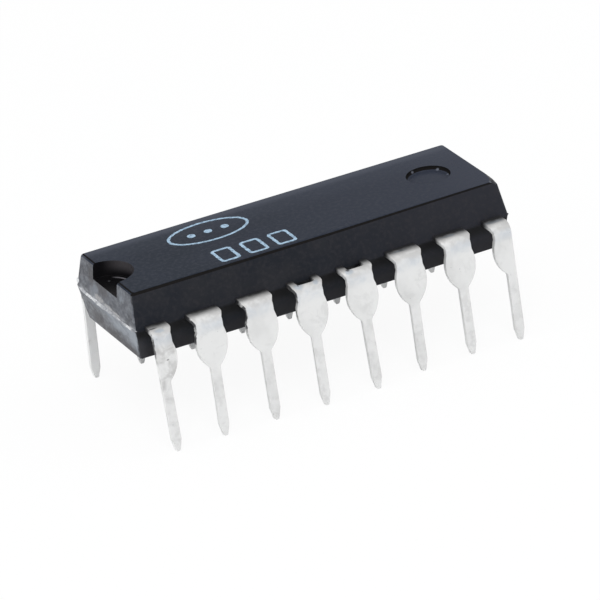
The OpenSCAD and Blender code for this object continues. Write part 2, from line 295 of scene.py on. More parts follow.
def top_epoxy(n):
    """Gloss black with a blue cast, cloudy where it cooled unevenly, with painted sheen that lightens it
    towards the right end and the far edge.
    """
    at = n.axes()
    cloud = n.noise(420, 3, 0.55)
    grain = n.noise(9000, 2, 0.5)
    mottle = n.noise(5200, 3, 0.6)
    colour = n.mix(n.ramp(cloud, 0.35, 0.7), (0.020, 0.0255, 0.037), (0.023, 0.0285, 0.042))
    # Painted sheen: lighter towards the right end, then towards and along the far edge
    colour = n.mix(n.ramp(at["X"], -0.0075, 0.0095), colour, (0.030, 0.0355, 0.053))
    colour = n.mix(n.ramp(at["X"], 0.0060, 0.0095, 0, 0.6), colour, (0.045, 0.051, 0.072))
    colour = n.mix(n.ramp(mottle, 0.43, 0.66, 0, 0.58), colour, (0.041, 0.046, 0.061))
    colour = n.mix(n.ramp(at["Y"], 0.0003, 0.0020, 0, 0.17), colour, (0.072, 0.082, 0.108))
    colour = n.mix(n.ramp(at["Y"], 0.0019, 0.0025, 0, 0.75), colour, (0.072, 0.080, 0.104))
    return {"Base_Color": with_painted_glints(n, colour),
            "Roughness": n.ramp(cloud, 0.3, 0.75, 0.2, 0.3),
            "Normal": n.bump(grain, 0.2, 0.000005)}


def shade_painted_edge_epoxy(n):
    """The rounded near and notched edges of the top and the wall of the ejector mark, painted near black
    as shade.
    """
    grain = n.noise(7000, 3, 0.6)
    return {"Base_Color": with_painted_glints(n, n.mix(grain, (0.007, 0.0065, 0.0065), (0.015, 0.014, 0.014))),
            "Roughness": n.ramp(grain, 0.3, 0.75, 0.4, 0.6),
            "Normal": n.bump(grain, 0.4, 0.000008)}


def side_epoxy(n):
    """The drafted long sides: the same black, a little finer and duller, with a band of painted shade
    just under the parting line.
    """
    at = n.axes()
    cloud = n.noise(600, 3, 0.55)
    grain = n.noise(12000, 3, 0.6)
    mottle = n.noise(5200, 3, 0.6)
    colour = n.mix(n.ramp(cloud, 0.35, 0.7), (0.010, 0.012, 0.017), (0.016, 0.017, 0.021))
    colour = n.mix(n.ramp(at["X"], -0.002, 0.009), colour, (0.018, 0.019, 0.025))
    colour = n.mix(n.ramp(mottle, 0.42, 0.72, 0, 0.4), colour, (0.030, 0.028, 0.032))
    height = n.math("SUBTRACT", at["Z"], DROP * MM)
    # Painted shade: a dark band on the lower wall just under the parting line
    colour = n.mix(n.times(n.ramp(height, 0.0, -0.00015), n.ramp(height, -0.0008, -0.0003)),
                   colour, (0.0075, 0.0075, 0.0085))
    colour = n.mix(n.ramp(height, -0.0008, -0.0013), colour, (0.019, 0.019, 0.022))
    low = n.times(n.ramp(height, -0.0002, -0.0009), n.ramp(at["X"], -0.0089, -0.0094))
    colour = n.mix(low, colour, (0.034, 0.034, 0.039))
    return {"Base_Color": with_painted_glints(n, colour),
            "Roughness": n.ramp(grain, 0.3, 0.75, 0.34, 0.46),
            "Normal": n.bump(grain, 0.3, 0.000006)}


def notch_epoxy(n):
    """Inside the notch: smooth from the mould's core pin, painted darker than the rest as shade in the
    recess, with a painted highlight high on its back wall, a painted glint along an arc at its foot, and
    a pale speck.
    """
    at = n.axes()
    grain = n.noise(3000, 2, 0.5)
    along = n.math("ADD", at["X"], TOP_X * MM)
    reach = n.math("SQRT", n.math("ADD", n.times(along, along), n.times(at["Y"], at["Y"])))
    # Painted glint: a pale arc along the foot of the wall
    foot_glint = n.times(n.ramp(reach, 0.00104, 0.00110), n.ramp(reach, 0.0012, 0.00114))
    foot_glint = n.times(foot_glint, n.ramp(at["Y"], 0.0001, 0.0004))
    foot_glint = n.times(foot_glint, n.ramp(along, 0.0006, 0.00085))
    speck = soft_spot(n, [((-9.01, 0.63, NOTCH_FLOOR), (0.08, 0.1, 0.1))], 70.0, 0.1)
    # Painted shade: the inside of the notch is darker than the rest of the moulding
    colour = n.mix(grain, (0.004, 0.004, 0.005), (0.007, 0.0065, 0.007))
    # Painted highlight high on the back wall
    rim_highlight = n.times(n.ramp(along, 0.0003, 0.0013), n.ramp(at["Z"], 0.0066, 0.0071))
    colour = n.mix(rim_highlight, colour, (0.052, 0.048, 0.052))
    colour = n.mix(n.times(foot_glint, 0.8), colour, (0.20, 0.19, 0.21))
    return {"Base_Color": n.mix(n.times(speck, 0.5), colour, (0.09, 0.09, 0.1)),
            "Roughness": n.ramp(grain, 0.3, 0.7, 0.25, 0.35)}


def end_epoxy(n):
    """The ends: frosted and scuffed where the gate and the flash were broken off, their pale grey partly
    painted reflection, with painted shade and a painted highlight along the ridge.
    """
    at = n.axes()
    across = n.ramp(at["Y"], -0.0031, 0.003, 0.0, 1.0, smooth=False)
    height = n.math("SUBTRACT", at["Z"], DROP * MM)
    away = n.math("ABSOLUTE", height)
    streak = n.noise(1.0, 4, 0.65, n.scaled_place((800, 1500, 3600)), 0.8)
    patch = n.noise(1.0, 4, 0.6, n.scaled_place((900, 620, 1500)), 0.8)
    mottle = n.noise(1900, 4, 0.65)
    fine = n.noise(9000, 3, 0.6)
    fleck = n.noise(4300, 4, 0.7, distortion=0.4)
    speckle = n.noise(1.0, 2, 0.5, n.scaled_place((3000, 3400, 5600)))
    # The pale grey is partly a frosted finish and partly painted reflection of the bright surroundings;
    # paler in the lower half and towards the far side
    lower = n.mix(across, (0.114, 0.120, 0.136), (0.204, 0.210, 0.222))
    upper = n.mix(across, (0.108, 0.117, 0.135), (0.104, 0.110, 0.127))
    base = n.mix(n.ramp(height, 0.0, 0.0004), lower, upper)
    base = n.mix(n.ramp(height, -0.0009, -0.0015, 0, 0.6), base, (0.094, 0.090, 0.095))
    base = n.mix(n.ramp(mottle, 0.36, 0.68, 0, 0.7), base, (0.062, 0.064, 0.072))
    base = n.mix(n.ramp(fleck, 0.56, 0.72, 0, 0.55), base, (0.19, 0.20, 0.22))
    base = n.mix(n.ramp(fleck, 0.42, 0.28, 0, 0.6), base, (0.040, 0.041, 0.046))
    base = n.mix(n.ramp(speckle, 0.5, 0.64, 0, 0.42), base, (0.22, 0.23, 0.25))
    base = n.mix(n.ramp(speckle, 0.5, 0.36, 0, 0.45), base, (0.045, 0.046, 0.052))
    base = n.mix(n.times(n.ramp(patch, 0.42, 0.62), 0.4), base, (0.165, 0.175, 0.20))
    # Painted shade low on the end face, beside the notch and high on the far side
    painted_shade = soft_spot(n, END_PAINTED_SHADES, 300.0, 0.4)
    base = n.mix(n.times(painted_shade, 0.75), base, (0.066, 0.063, 0.067))
    smear = soft_spot(n, END_SMEARS, 0.0, 0.7)
    base = n.mix(n.times(smear, n.ramp(mottle, 0.3, 0.6, 0.15, 0.5)), base, (0.24, 0.265, 0.30))
    slope = n.math("SUBTRACT", height, n.times(at["Y"], 0.15))
    slope = n.math("ADD", slope, n.swing(mottle, 0.0006))
    scrape = n.times(n.ramp(slope, -0.0009, -0.0003), n.ramp(height, 0.0, -0.00012))
    scrape = n.times(scrape, n.ramp(at["Y"], 0.0022, 0.0006, 0.25, 1.0))
    scrape = n.times(scrape, n.ramp(patch, 0.36, 0.58, 0.4, 0.95))
    base = n.mix(scrape, base, (0.285, 0.31, 0.345))
    # Pale patches along the parting ridge: partly scraped flash, partly painted highlight
    scrape_and_highlight = soft_spot(n, END_SCRAPES_AND_HIGHLIGHTS, 500.0, 0.6)
    base = n.mix(n.times(scrape_and_highlight, n.ramp(fine, 0.35, 0.6, 0.4, 0.85)), base, (0.44, 0.43, 0.43))
    feather = n.times(n.ramp(streak, 0.42, 0.62), n.ramp(away, 0.00026, 0.00003))
    base = n.mix(n.times(feather, 0.7), base, (0.42, 0.43, 0.46))
    side = n.math("SUBTRACT", n.times(away, math.tan(SIDE_DRAFT)), at["Y"])
    side = n.math("ADD", side, n.swing(mottle, 0.0004))
    base = n.mix(n.ramp(side, 0.00320, 0.00333), base, (0.018, 0.019, 0.023))
    return {"Base_Color": base,
            "Roughness": n.ramp(fine, 0.3, 0.7, 0.45, 0.62),
            "Normal": n.bump(n.math("ADD", fine, n.times(patch, 2.0)), 0.4, 0.00001)}


def flash_epoxy(n):
    """Thin ragged flash, pale in uneven patches: partly its own whitish tone, partly a painted highlight
    along the parting ridge.
    """
    speck = n.noise(3000, 4, 0.6)
    wide = n.noise(900, 2, 0.5)
    pale = n.mix(n.ramp(wide, 0.38, 0.58), (0.42, 0.43, 0.45), (0.72, 0.73, 0.74))
    # The pale colour is partly a painted highlight along the ridge
    return {"Base_Color": n.mix(n.ramp(speck, 0.34, 0.56), (0.22, 0.23, 0.25), pale),
            "Roughness": n.ramp(speck, 0.3, 0.7, 0.5, 0.65)}


def tin(n):
    """Matte tin plate: almost white, smudged blue-grey over the bends, dark at the root with resin and
    painted shade; painted shade on the bends' crests and in small dimples, painted light on the sheared
    sides and the far row.
    """
    at = n.axes()
    below = n.math("SUBTRACT", DROP * MM, at["Z"])
    across = n.math("ABSOLUTE", at["Y"])
    sheared = n.ramp(n.math("ABSOLUTE", n.normal("True Normal")["X"]), 0.6, 0.85)
    smudge = n.noise(1500, 4, 0.62, distortion=0.5)
    cloud = n.noise(650, 3, 0.55)
    grain = n.noise(14000, 3, 0.6)
    wave = n.noise(2400, 3, 0.55)
    speck = n.noise(5200, 2, 0.5)
    crest_painted_shade = n.ramp(n.normal("Normal")["Z"], 0.1, 0.65)
    over_bend = n.times(n.ramp(below, 0.0008, 0.0003), n.ramp(below, -0.00005, 0.00015))
    over_bend = n.times(over_bend, n.ramp(smudge, 0.4, 0.6, 0.35, 1.0))
    first = n.times(n.ramp(at["X"], -0.0081, -0.0083), n.ramp(at["Y"], 0, -0.001))
    first = n.times(first, n.ramp(below, 0.0034, 0.0022, 0.2, 0.9))
    colour = n.mix(n.ramp(cloud, 0.42, 0.72), (0.70, 0.70, 0.695), (0.62, 0.62, 0.615))
    # Painted light: the far row of leads is painted lighter than the near row
    colour = n.mix(n.ramp(at["Y"], 0.001, 0.002), colour, (0.8, 0.8, 0.795))
    colour = n.mix(n.ramp(smudge, 0.52, 0.68, 0, 0.4), colour, (0.53, 0.53, 0.525))
    worn = n.times(n.ramp(smudge, 0.38, 0.66), n.ramp(wave, 0.3, 0.7, 0.5, 1.0))
    colour = n.mix(n.times(first, n.times(worn, 0.85)), colour, (0.40, 0.393, 0.388))
    stem = n.times(n.ramp(below, 0.0022, 0.003), n.ramp(wave, 0.5, 0.66, 0.0, 0.35))
    stem = n.times(stem, n.ramp(at["Y"], 0.001, -0.001))
    colour = n.mix(stem, colour, (0.5, 0.495, 0.49))
    colour = n.mix(n.times(over_bend, 0.55), colour, (0.49, 0.53, 0.58))
    # Painted shade on the upward-facing crests of the bends
    colour = n.mix(n.times(crest_painted_shade, n.ramp(wave, 0.35, 0.6, 0.35, 0.8)), colour, (0.43, 0.425, 0.42))
    blue = soft_spot(n, TIN_SMUDGES, 100.0, 0.8)
    colour = n.mix(n.times(blue, 0.6), colour, (0.30, 0.35, 0.41))
    # Dark specks, and painted shade in small dimples beside the lead windows
    dark_marks_and_shade = soft_spot(n, TIN_MARKS_AND_DIMPLE_SHADE, 200.0, 0.3)
    colour = n.mix(n.times(dark_marks_and_shade, 0.9), colour, (0.06, 0.06, 0.065))
    colour = n.mix(n.ramp(speck, 0.735, 0.77, 0, 0.7), colour, (0.3, 0.31, 0.33))
    # Painted light on the sheared sides of the leads
    painted_side_light = n.times(sheared, n.ramp(wave, 0.3, 0.6, 0.9, 0.5))
    colour = n.mix(painted_side_light, colour, (0.84, 0.84, 0.83))
    torn = n.times(sheared, n.ramp(below, 0.0016, 0.0009))
    torn = n.times(torn, n.ramp(at["X"], 0.0002, -0.0022, 0.25, 1.0))
    torn = n.times(torn, n.ramp(wave, 0.42, 0.54, 0.3, 0.95))
    colour = n.mix(torn, colour, (0.035, 0.035, 0.04))
    # Dark at the root: resin bleed, and painted shade where the lead leaves the moulding
    root = n.ramp(n.math("ADD", across, n.swing(wave, 0.0004)), 0.00392, 0.00334)
    colour = n.mix(root, colour, (0.015, 0.015, 0.017))
    height = n.math("ADD", n.times(wave, 3.0), grain)
    return {"Base_Color": colour,
            "Roughness": n.ramp(cloud, 0.3, 0.7, 0.52, 0.6),
            "Normal": n.bump(height, 0.25, 0.00001)}


def frame_alloy(n):
    """Bare rolled strip, with its rolling lines along the rows."""
    roll = n.noise(1.0, 3, 0.6, n.scaled_place((1200, 24000, 24000)))
    return {"Base_Color": n.mix(n.ramp(roll, 0.35, 0.65), (0.50, 0.49, 0.47), (0.6, 0.59, 0.56)),
            "Roughness": n.ramp(roll, 0.3, 0.7, 0.3, 0.45),
            "Normal": n.bump(roll, 0.2, 0.000003)}


def silver_glue(n):
    """Adhesive filled with silver flake."""
    flake = n.noise(30000, 3, 0.6)
    return {"Base_Color": n.mix(n.ramp(flake, 0.4, 0.6), (0.36, 0.36, 0.34), (0.5, 0.5, 0.48)),
            "Roughness": n.ramp(flake, 0.3, 0.7, 0.45, 0.6),
            "Normal": n.bump(flake, 0.3, 0.000004)}


def silicon(n):
    """Polished die, with the faint blocks of its circuits as soft fields of colour."""
    cells = n.add("ShaderNodeTexVoronoi", Vector=n.place(), Scale=4200.0)
    cells.distance = "CHEBYCHEV"
    tone = n.add("ShaderNodeSeparateColor", Color=cells.outputs["Color"])
    colour = n.mix(tone.outputs["Red"], (0.085, 0.1, 0.14), (0.17, 0.16, 0.2))
    return {"Base_Color": colour, "Roughness": n.ramp(tone.outputs["Green"], 0, 1, 0.14, 0.24)}


def gold(n):
    """Drawn gold wire."""
    grain = n.noise(40000, 2, 0.5)
    return {"Base_Color": n.mix(grain, (0.82, 0.58, 0.2), (0.88, 0.66, 0.26)),
            "Roughness": n.ramp(grain, 0.3, 0.7, 0.2, 0.3)}


def ink(n):
    """Pale blue marking ink, thin enough in places for the black to show."""
    patch = n.noise(5200, 3, 0.65)
    fine = n.noise(15000, 2, 0.5)
    worn = n.math("ADD", n.ramp(patch, 0.42, 0.66, 0, 0.6), n.ramp(fine, 0.46, 0.72, 0, 0.3))
    return {"Base_Color": n.mix(worn, (0.40, 0.57, 0.73), (0.09, 0.14, 0.21)),
            "Roughness": n.ramp(patch, 0.3, 0.7, 0.45, 0.6)}


def mesh_piece(name, bm, slot, *materials, sharp=35):
    """Links the bmesh, drawn in millimetres from the parting line, as a piece in metres."""
    bm.transform(Matrix.Translation((0, 0, DROP)))
    bm.transform(Matrix.Scale(MM, 4))
    bmesh.ops.recalc_face_normals(bm, faces=bm.faces)
    mesh = bpy.data.meshes.new(name)
    bm.to_mesh(mesh)
    bm.free()
    for each in materials:
        mesh.materials.append(each)
    for face in mesh.polygons:
        face.use_smooth = True
    mesh.set_sharp_from_angle(angle=math.radians(sharp))
    piece = bpy.data.objects.new(name, mesh)
    bpy.context.scene.collection.objects.link(piece)
    even = piece.modifiers.new("even_normals", "WEIGHTED_NORMAL")
    even.keep_sharp = True
    even.weight = 100
    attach(piece, "root")
    return piece


def half_size(height, mid, draft, edge_height, edge_r):
    """Half width of the moulding at a height from the parting line, rounded edge included."""
    flat = mid - edge_height * math.tan(draft) - edge_r * math.tan((math.pi / 2 - draft) / 2)
    rise = height - (edge_height - edge_r)
    if rise > edge_r * math.sin(draft):
        return flat + math.sqrt(max(edge_r ** 2 - rise ** 2, 0))
    return mid - height * math.tan(draft)


def outline(half_x, half_y, radius, corner_steps=8):
    """Points of a rounded rectangle, anticlockwise from its near right corner."""
    points = []
    for index, (side_x, side_y) in enumerate(((1, -1), (1, 1), (-1, 1), (-1, -1))):
        for step in range(corner_steps + 1):
            angle = math.radians(-90 + 90 * index + 90 * step / corner_steps)
            points.append((side_x * (half_x - radius) + radius * math.cos(angle),
                           side_y * (half_y - radius) + radius * math.sin(angle)))
    return points


def loft(bm, rings):
    """Skins closed rings of equal length and caps both ends."""
    made = [[bm.verts.new(point) for point in ring] for ring in rings]
    count = len(made[0])
    for low, high in zip(made, made[1:]):
        for i in range(count):
            j = (i + 1) % count
            bm.faces.new((low[i], low[j], high[j], high[i]))
    bm.faces.new(made[-1])
    bm.faces.new(reversed(made[0]))


# Angles round the rounded edge at which the moulding has a ring
EDGE_ANGLES = (7.5, 20, 32, 44, 56, 68, 79, 90)

# How far the photograph shows the near side and the notched end standing out beyond the source's.
# The near side turns in from its middle on, and the end does so towards its near corner.
SKEW_MIDDLE = 0.5
NEAR_OUT = 0.12
NEAR_TURN = 0.19
LEFT_OUT = 0.055
LEFT_TURN = 0.065


def near_skew(x):
    """How far the near side stands out at a place along it."""
    return NEAR_OUT - NEAR_TURN * max(0.0, x - SKEW_MIDDLE) / (HALF_L - SKEW_MIDDLE)


def left_reach(y):
    """How far the notched end stands out at a place across it."""
    return LEFT_OUT - LEFT_TURN * (HALF_W - y) / (2 * HALF_W)


def edge_ring(edge_height, sign, angle):
    """A ring of the moulding at an angle round its edge, which is softer at the notched end."""
    parts = []
    for edge_r in (RIGHT_EDGE_R, LEFT_EDGE_R):
        height = edge_height - edge_r + edge_r * math.sin(math.radians(angle))
        half_x = half_size(height, HALF_L, END_DRAFT, edge_height, edge_r)
        half_y = half_size(height, HALF_W, SIDE_DRAFT, edge_height, edge_r)
        inset = HALF_W - height * math.tan(SIDE_DRAFT) - half_y
        parts.append([(x, y, sign * height)
                      for x, y in outline(half_x, half_y, max(CORNER_R - inset, 0.04))])
    return [right if right[0] > 0 else left for right, left in zip(*parts)]


def as_moulded(ring):
    """The ring with a point more in its near side, and with that side and the left end skewed."""
    first, last = Vector(ring[0]), Vector(ring[-1])
    middle = first.lerp(last, 0.5)
    middle.x = SKEW_MIDDLE
    return [(x - (left_reach(y) if x < 0 else 0), y - (near_skew(x) if y < -1 else 0), z)
            for x, y, z in [*ring, middle]]


def moulding_rings():
    """The rings of the moulding from its underside to its top."""
    rings = [edge_ring(BOTTOM_H, -1, angle) for angle in reversed(EDGE_ANGLES)]
    rings.append([(x, y, 0.0) for x, y in outline(HALF_L, HALF_W, CORNER_R)])
    rings += [edge_ring(TOP_H, 1, angle) for angle in EDGE_ANGLES]
    return [as_moulded(ring) for ring in rings]


def cut_plane(bm, a, b, c):
    """Cuts away what lies on the outer side of the plane through three points."""
    a, b, c = Vector(a), Vector(b), Vector(c)
    normal = (b - a).cross(c - a).normalized()
    if normal.dot(a) < 0:
        normal.negate()
    geometry = bm.verts[:] + bm.edges[:] + bm.faces[:]
    bmesh.ops.bisect_plane(bm, geom=geometry, plane_co=a, plane_no=normal, clear_outer=True)
    bmesh.ops.holes_fill(bm, edges=[e for e in bm.edges if e.is_boundary], sides=0)


def cylinder_cutter(x, low, high, radius):
    """An upright cylinder on the middle line, to cut with."""
    bm = bmesh.new()
    bmesh.ops.create_cone(bm, cap_ends=True, segments=96, radius1=radius, radius2=radius,
                          depth=high - low)
    bm.transform(Matrix.Translation((x, 0, (low + high) / 2)))
    mesh = bpy.data.meshes.new("cutter")
    bm.to_mesh(mesh)
    bm.free()
    cutter = bpy.data.objects.new("cutter", mesh)
    bpy.context.scene.collection.objects.link(cutter)
    return cutter


def carved(bm, cutters):
    """The bmesh with every cutter taken out of it."""
    mesh = bpy.data.meshes.new("blank")
    bm.to_mesh(mesh)
    bm.free()
    blank = bpy.data.objects.new("blank", mesh)
    bpy.context.scene.collection.objects.link(blank)
    for cutter in cutters:
        cut = blank.modifiers.new("cut", "BOOLEAN")
        cut.operation = "DIFFERENCE"
        cut.solver = "EXACT"
        cut.object = cutter
    bpy.context.view_layer.update()
    cut_blank = blank.evaluated_get(bpy.context.evaluated_depsgraph_get())
    made = bmesh.new()
    made.from_mesh(bpy.data.meshes.new_from_object(cut_blank))
    for each in [blank, *cutters]:
        bpy.data.objects.remove(each, do_unlink=True)
    return made


def in_notch(face):
    """Whether the face is on the wall or the floor of the notch."""
    return all(math.hypot(v.co.x + TOP_X, v.co.y) < NOTCH_R + 0.02 and v.co.z > NOTCH_FLOOR - 0.05
               for v in face.verts)


def in_chips(face):
    """Whether the face is one that the chips off the near right corner left."""
    middle = face.calc_center_median()
    normal = face.normal
    return middle.x > 8.8 and -3.0 < middle.y < -1.2 and normal.x > 0.2 and 0.2 < normal.z < 0.985


def face_finish(face):
    """The finish of a face, by its place and by the way that it faces."""
    if in_notch(face):
        return NOTCH
    middle = face.calc_center_median()
    normal = face.normal
    in_mark = math.hypot(middle.x - TOP_MARK_X, middle.y) < TOP_MARK_R + 0.1 and middle.z > TOP_H - 0.3
    near_edge = normal.y < -0.2 and 0.36 < normal.z < 0.98
    notched_edge = normal.x < -0.2 and 0.8 < normal.z < 0.98
    # The steep wall of the ejector mark and the rounded near and notched edges get the finish painted
    # dark as shade
    if in_mark:
        return SHADE_PAINTED_EDGE if normal.z < 0.75 else FLAT
    if in_chips(face):
        return SIDE
    if near_edge or notched_edge:
        return SHADE_PAINTED_EDGE
    if abs(normal.z) > (0.6 if normal.x < -0.1 else 0.75):
        return FLAT
    return END if abs(normal.x) > abs(normal.y) else SIDE


def foot_edges(bm, x, level, radius):
    """The edges where the wall of a round recess meets its floor."""
    return [e for e in bm.edges
            if all(abs(v.co.z - level) < 0.01 and abs(math.hypot(v.co.x - x, v.co.y) - radius) < 0.02
                   for v in e.verts)]


def sharp_edges(bm, angle):
    """The edges whose faces turn by more than the angle, in degrees."""
    return [e for e in bm.edges if len(e.link_faces) == 2 and e.calc_face_angle(0) > math.radians(angle)]


def soften(bm, edges, size, steps):
    """Rounds the edges."""
    bmesh.ops.bevel(bm, geom=edges, offset=size, segments=steps, profile=0.5, affect="EDGES",
                    clamp_overlap=True)


def make_body(finishes):
    """The moulding, with its recesses, rounded edges and chips."""
    bm = bmesh.new()
    loft(bm, moulding_rings())
    for chip in CORNER_CHIPS:
        cut_plane(bm, *[(x, y, TOP_H + z) for x, y, z in chip])
    mark_floor = TOP_H - TOP_MARK_DEPTH
    cutters = [cylinder_cutter(-TOP_X, NOTCH_FLOOR, TOP_H + 1, NOTCH_CUT_R),
               cylinder_cutter(TOP_MARK_X, mark_floor, TOP_H + 1, TOP_MARK_R)]
    for x in (-UNDER_MARK_X, UNDER_MARK_X):
        cutters.append(cylinder_cutter(x, -BOTTOM_H - 1, -BOTTOM_H + UNDER_MARK_DEPTH, UNDER_MARK_R))
    bm = carved(bm, cutters)
    bmesh.ops.remove_doubles(bm, verts=bm.verts, dist=WELD)
    bmesh.ops.dissolve_limit(bm, angle_limit=math.radians(0.4), verts=bm.verts, edges=bm.edges)
    soften(bm, foot_edges(bm, -TOP_X, NOTCH_FLOOR, NOTCH_CUT_R), NOTCH_FOOT_R, 6)
    soften(bm, foot_edges(bm, TOP_MARK_X, mark_floor, TOP_MARK_R), MARK_FOOT_R, 5)
    soften(bm, sharp_edges(bm, 42), RIM_R, 4)
    bmesh.ops.dissolve_degenerate(bm, dist=WELD, edges=bm.edges)
    bm.normal_update()
    for face in bm.faces:
        face.material_index = face_finish(face)
    piece = mesh_piece("moulding", bm, "mould_compound", *finishes, sharp=27)
    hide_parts("body")


# Droop of the flash at places across the left end, from the far corner to the near one, and the burr
# at its far corner
FLASH_LINE = [(3.3, 0.03), (2.68, -0.01), (2.2, -0.05), (1.6, -0.09), (0.85, -0.05), (0.2, -0.08),
              (-0.5, -0.04), (-1.25, -0.02), (-2.0, -0.06), (-2.8, -0.02), (-3.3, 0.03)]
BURR_PLACE = Vector((-9.58, 3.02, 0.27))
BURR_SIZE = (0.08, 0.14, 0.13)

# How many sections the flash has along an end, how far it stops short of the corners, and the size of
# the right one beside the left one
FLASH_SECTIONS = 180
FLASH_GAP = 0.02
RIGHT_FLASH = 0.55


def flash_droop(y):
    """Height of the left flash's edge at a place across the end."""
    for (a, low), (b, high) in zip(FLASH_LINE, FLASH_LINE[1:]):
        if b <= y <= a:
            return low + (high - low) * (a - y) / (a - b)
    return 0.0


def add_burr(bm):
    """An uneven lump of flash."""
    made = bmesh.ops.create_icosphere(bm, subdivisions=2, radius=1.0)
    for vert in made["verts"]:
        lump = 1 + 0.35 * noise.noise(vert.co * 1.7)
        vert.co = BURR_PLACE + Vector([c * size for c, size in zip(vert.co, BURR_SIZE)]) * lump


def make_flash(end, finish):
    """Ragged fin of flash across one end, along the parting line. The left one is the larger."""
    left = end < 0
    rough = random.Random(11 if left else 23)
    seed = rough.uniform(0, 50)
    size = 1.0 if left else RIGHT_FLASH
    near = -HALF_W + FLASH_GAP - near_skew(end * HALF_L)
    far = HALF_W - FLASH_GAP
    bm = bmesh.new()
    rows = []
    for i in range(FLASH_SECTIONS + 1):
        y = far + (near - far) * i / FLASH_SECTIONS
        inside = min(far - y, y - near)
        corner = max(0.0, CORNER_R - FLASH_GAP - inside)
        x = HALF_L - CORNER_R + math.sqrt(max(CORNER_R ** 2 - corner ** 2, 0.0))
        x += left_reach(y) if left else 0
        coarse = noise.noise(Vector((i * 0.045, seed, 0)))
        fine = noise.noise(Vector((i * 0.29, seed, 7)))
        fade = min(1.0, 0.1 + 1.3 * (far - y), 0.35 + 6 * (y - near)) * size
        reach = max(0.02, 0.08 + 0.04 * coarse + 0.025 * fine) * fade
        droop = flash_droop(y) if left else 0.03 * coarse
        thick = (0.034 + 0.01 * coarse + 0.008 * fine) * fade
        section = ((-0.05, thick * 1.6), (reach * 0.55, thick * 0.9 + droop * 0.5), (reach, droop),
                   (reach * 0.55, -thick * 0.8 + droop * 0.6), (-0.05, -thick))
        rows.append([bm.verts.new((end * (x + out), y, z)) for out, z in section])
    for a, b in zip(rows, rows[1:]):
        for i in range(len(a)):
            j = (i + 1) % len(a)
            bm.faces.new((a[i], a[j], b[j], b[i]))
    bm.faces.new(rows[0])
    bm.faces.new(reversed(rows[-1]))
    if left:
        add_burr(bm)
    mesh_piece("flash_left" if left else "flash_right", bm, "mould_compound", finish, sharp=60)


# How far the photograph shows the tip of each lead from its place in the source, and the height from
# which it leans there
TIP_SHIFT = {1: (0.0, -0.06), 2: (-0.14, -0.02), 3: (-0.11, -0.05), 4: (-0.16, -0.2), 5: (-0.05, -0.21),
             6: (-0.08, 0.1), 7: (0.0, 0.2), 8: (-0.05, 0.12), 9: (0.12, 0.1), 10: (0.05, 0.05),
             11: (0.0, -0.05), 12: (-0.02, -0.08), 13: (0.06, -0.05), 14: (-0.04, -0.06),
             15: (-0.08, 0.06), 16: (0.12, 0.08)}
LEG_TOP = -0.5

# How ragged the shear left the left edge of each lead's shoulder, and the spacing of the points there
TEAR = {1: 0.03, 2: 0.075, 3: 0.07, 4: 0.035}
OTHER_TEAR = 0.02
TEAR_STEP = 0.11
SHOULDER = (-1.9, 0.0)

# How far the stamped edges of the leads are rounded
LEAD_EDGE_R = 0.03


def tear_edges(bm, number):
    """Roughens the left edges of the shoulder, where the shear tore them."""
    size = TEAR.get(number, OTHER_TEAR)
    long_edges = {}
    for edge in bm.edges:
        inside = all(SHOULDER[0] < v.co.z < SHOULDER[1] for v in edge.verts)
        if len(edge.link_faces) != 2 or not inside:
            continue
        one, other = sorted(face.normal.x for face in edge.link_faces)
        cuts = int(edge.calc_length() / TEAR_STEP)
        if one < -0.6 and abs(other) < 0.3 and cuts:
            long_edges.setdefault(cuts, []).append(edge)
    for cuts, edges in long_edges.items():
        made = bmesh.ops.subdivide_edges(bm, edges=edges, cuts=cuts)
        for vert in made["geom_inner"]:
            if isinstance(vert, bmesh.types.BMVert):
                vert.co.x += size * noise.noise(Vector((number * 5.3, vert.co.z * 9, vert.co.y * 2)))


def make_lead(number, finish):
    """The CAD lead with its stamped edges eased and its leg bent as it is in the photograph."""
    node = f"lead_{number:02d}"
    bm = bmesh.new()
    bm.from_mesh(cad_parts[node].data)
    bm.transform(Matrix.Scale(1 / MM, 4))
    bm.transform(Matrix.Translation((0, 0, -DROP)))
    bmesh.ops.remove_doubles(bm, verts=bm.verts, dist=WELD / 2)
    bmesh.ops.dissolve_limit(bm, angle_limit=math.radians(0.6), verts=bm.verts, edges=bm.edges)
    tear_edges(bm, number)
    soften(bm, sharp_edges(bm, 50), LEAD_EDGE_R, 2)
    bmesh.ops.dissolve_degenerate(bm, dist=WELD, edges=bm.edges)
    shift_x, shift_y = TIP_SHIFT[number]
    for vert in bm.verts:
        down = max(0.0, (LEG_TOP - vert.co.z) / (LEG_TOP + DROP))
        vert.co.x += shift_x * down
        vert.co.y += shift_y * down
    piece = mesh_piece(f"{node}_formed", bm, "tinned_lead", finish)
    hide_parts(node)


# The marks on the top: an oval with three spots in it and three tablets, each a band between two
# outlines. Sizes are half widths, with a corner radius last on the tablets.
OVAL_PLACE = (-3.7, 1.08)
OVAL_SIZES = ((2.02, 1.12), (1.88, 0.98))
SPOT_PLACES = (-0.85, 0, 0.85)
SPOT_R = 0.2
TABLET_PLACES = ((-4.15, -1.8), (-2.72, -1.8), (-1.29, -1.8))
TABLET_SIZES = ((0.5, 0.72, 0.2), (0.35, 0.57, 0.08))

# Ink starts below the surface and stands above it, and its edge has points so far apart and wanders
# so far
INK_SUNK = 0.01
INK_T = 0.006
INK_STEP = 0.05
INK_WANDER = 0.03


